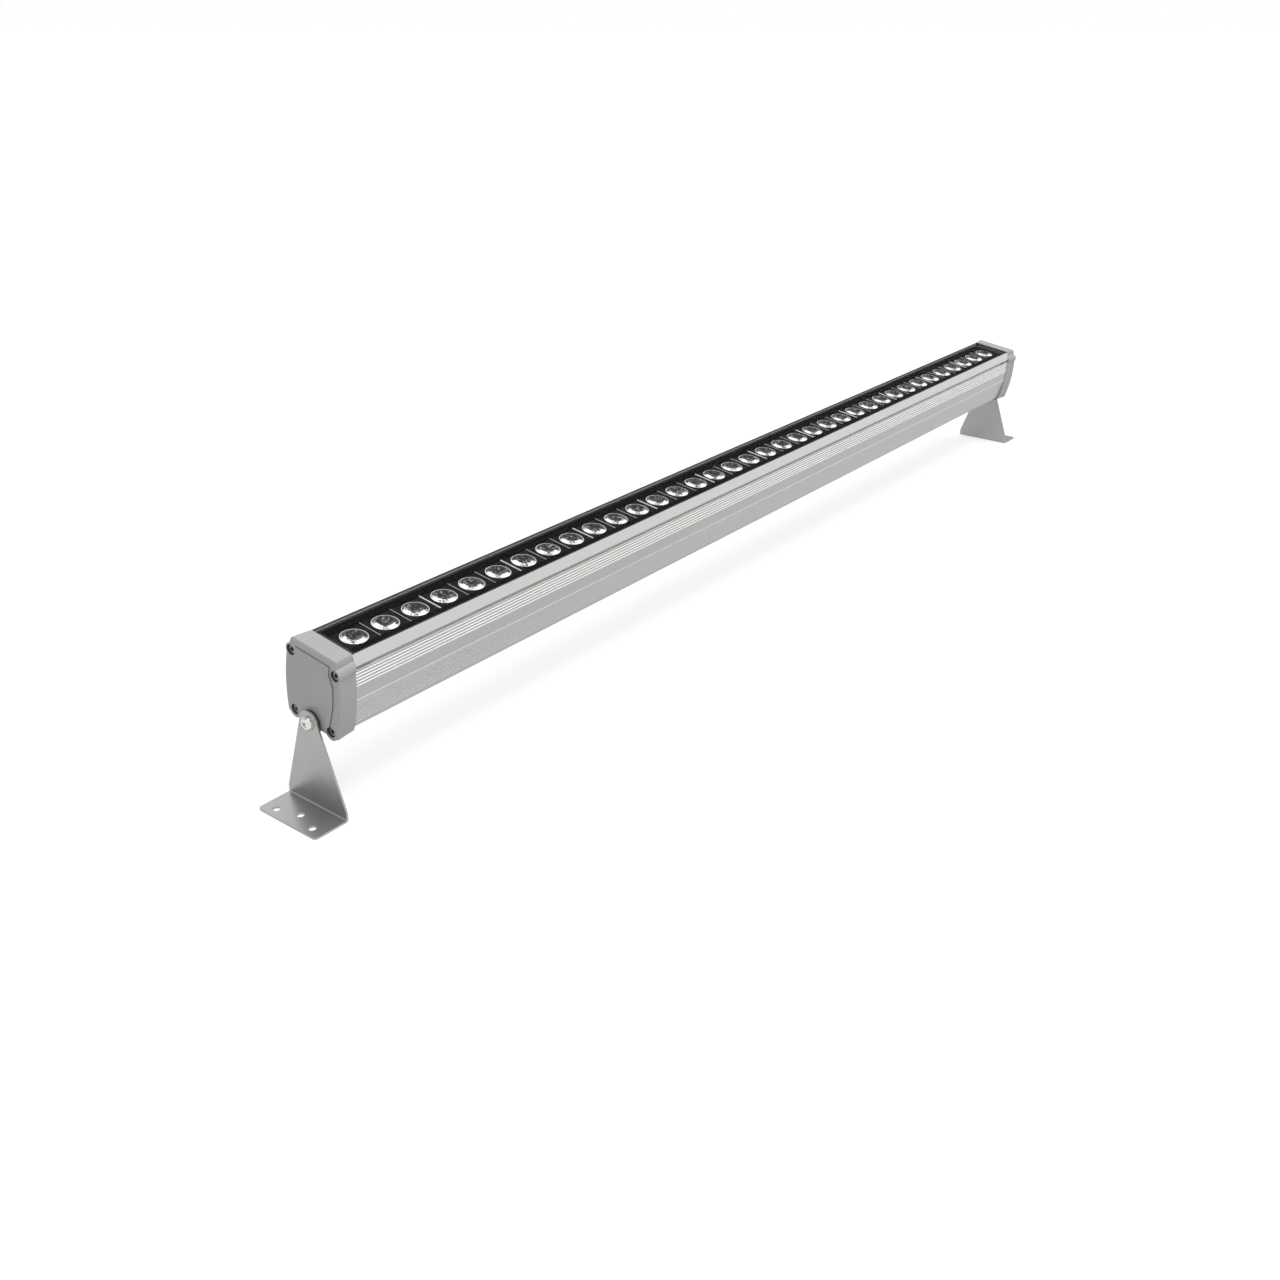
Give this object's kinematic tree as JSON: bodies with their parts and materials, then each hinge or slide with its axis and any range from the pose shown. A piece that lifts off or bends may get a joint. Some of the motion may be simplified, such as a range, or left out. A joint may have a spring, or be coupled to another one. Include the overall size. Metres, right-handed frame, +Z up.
{
  "type": "outdoor wall washer light",
  "caption": "Long aluminium wall washer light with a row of narrow lenses under glass, grey end caps and two tilting sheet-steel brackets.",
  "frame": {"origin": "on the floor under the middle of the bar, midway between the two feet", "axes": "+X along the bar towards the end with the cable gland, +Z up, the lamp at rest leans a little towards -Y"},
  "size_m": [1.0748, 0.062, 0.1215],
  "materials": {
    "bracket_steel": "brushed stainless sheet",
    "pivot_steel": "bright stainless fasteners",
    "spacer_rubber": "black rubber",
    "housing_aluminium": "natural anodised, fine lengthwise ribs",
    "cap_grey": "die-cast, grey powder coat",
    "gasket_rubber": "black silicone rubber",
    "screw_steel": "dark stainless fasteners",
    "washer_nylon": "nylon",
    "cover_glass": "clear toughened glass",
    "seal_black": "black silicone",
    "holder_black": "black satin moulding",
    "lens_clear": "clear acrylic",
    "board_white": "white solder mask on an aluminium board",
    "emitter_yellow": "light-emitting packages",
    "lead_red": "insulated wire",
    "lead_blue": "insulated wire",
    "pad_grey": "soft pad",
    "driver_silver": "folded sheet",
    "driver_green": "printed circuit board",
    "driver_dark": "moulded components",
    "terminal_cream": "moulded terminal block",
    "gland_black": "black nylon"
  },
  "bodies": {
    "bracket_left": {"bracket_left": "bracket_steel"},
    "lamp": {"pivot_screws": "pivot_steel", "pivot_washers": "pivot_steel", "pivot_spacers": "spacer_rubber", "housing_profile": "housing_aluminium", "end_cap_left": "cap_grey", "end_cap_right": "cap_grey", "cap_gasket_left": "gasket_rubber", "cap_gasket_right": "gasket_rubber", "cap_screws": "screw_steel", "cap_screw_seals": "washer_nylon", "cover_glass": "cover_glass", "glass_seal_front": "seal_black", "glass_seal_back": "seal_black", "tray_plug_left": "seal_black", "tray_plug_right": "seal_black", "lens_holder_01": "holder_black", "lens_holder_02": "holder_black", "lens_holder_03": "holder_black", "lens_holder_04": "holder_black", "lens_holder_05": "holder_black", "lens_holder_06": "holder_black", "lens_holder_07": "holder_black", "lens_holder_08": "holder_black", "lens_holder_09": "holder_black", "lens_holder_10": "holder_black", "lens_holder_11": "holder_black", "lens_holder_12": "holder_black", "lens_plate_01": "lens_clear", "lens_plate_02": "lens_clear", "lens_plate_03": "lens_clear", "lens_plate_04": "lens_clear", "lens_plate_05": "lens_clear", "lens_plate_06": "lens_clear", "lens_plate_07": "lens_clear", "lens_plate_08": "lens_clear", "lens_plate_09": "lens_clear", "lens_plate_10": "lens_clear", "lens_plate_11": "lens_clear", "lens_plate_12": "lens_clear", "led_board_1": "board_white", "led_board_2": "board_white", "led_board_3": "board_white", "led_emitters": "emitter_yellow", "board_links": "lead_red", "board_screws": "screw_steel", "heat_pad": "pad_grey", "driver_pad": "pad_grey", "driver_case": "driver_silver", "driver_lid": "driver_silver", "driver_board": "driver_green", "driver_parts": "driver_dark", "output_leads": "lead_red", "supply_leads": "lead_blue", "terminal_block": "terminal_cream", "gland_body": "gland_black", "gland_seal": "gasket_rubber", "gland_locknut": "gland_black", "gland_nut": "gland_black"},
    "bracket_right": {"bracket_right": "bracket_steel"}
  },
  "joints": [
    {"name": "tilt", "type": "hinge", "parent": "bracket_left", "child": "lamp", "pos_m": [-0.51, 0, 0.0647], "axis": [1, 0, 0], "range_deg": [-98, 82]},
    {"name": "right_swivel", "type": "hinge", "parent": "lamp", "child": "bracket_right", "pos_m": [0.51, 0, 0.0647], "axis": [1, 0, 0], "range_deg": [-82, 98]}
  ],
  "couplings": [
    {"joint": "right_swivel", "follows": "tilt", "ratio": -1}
  ]
}
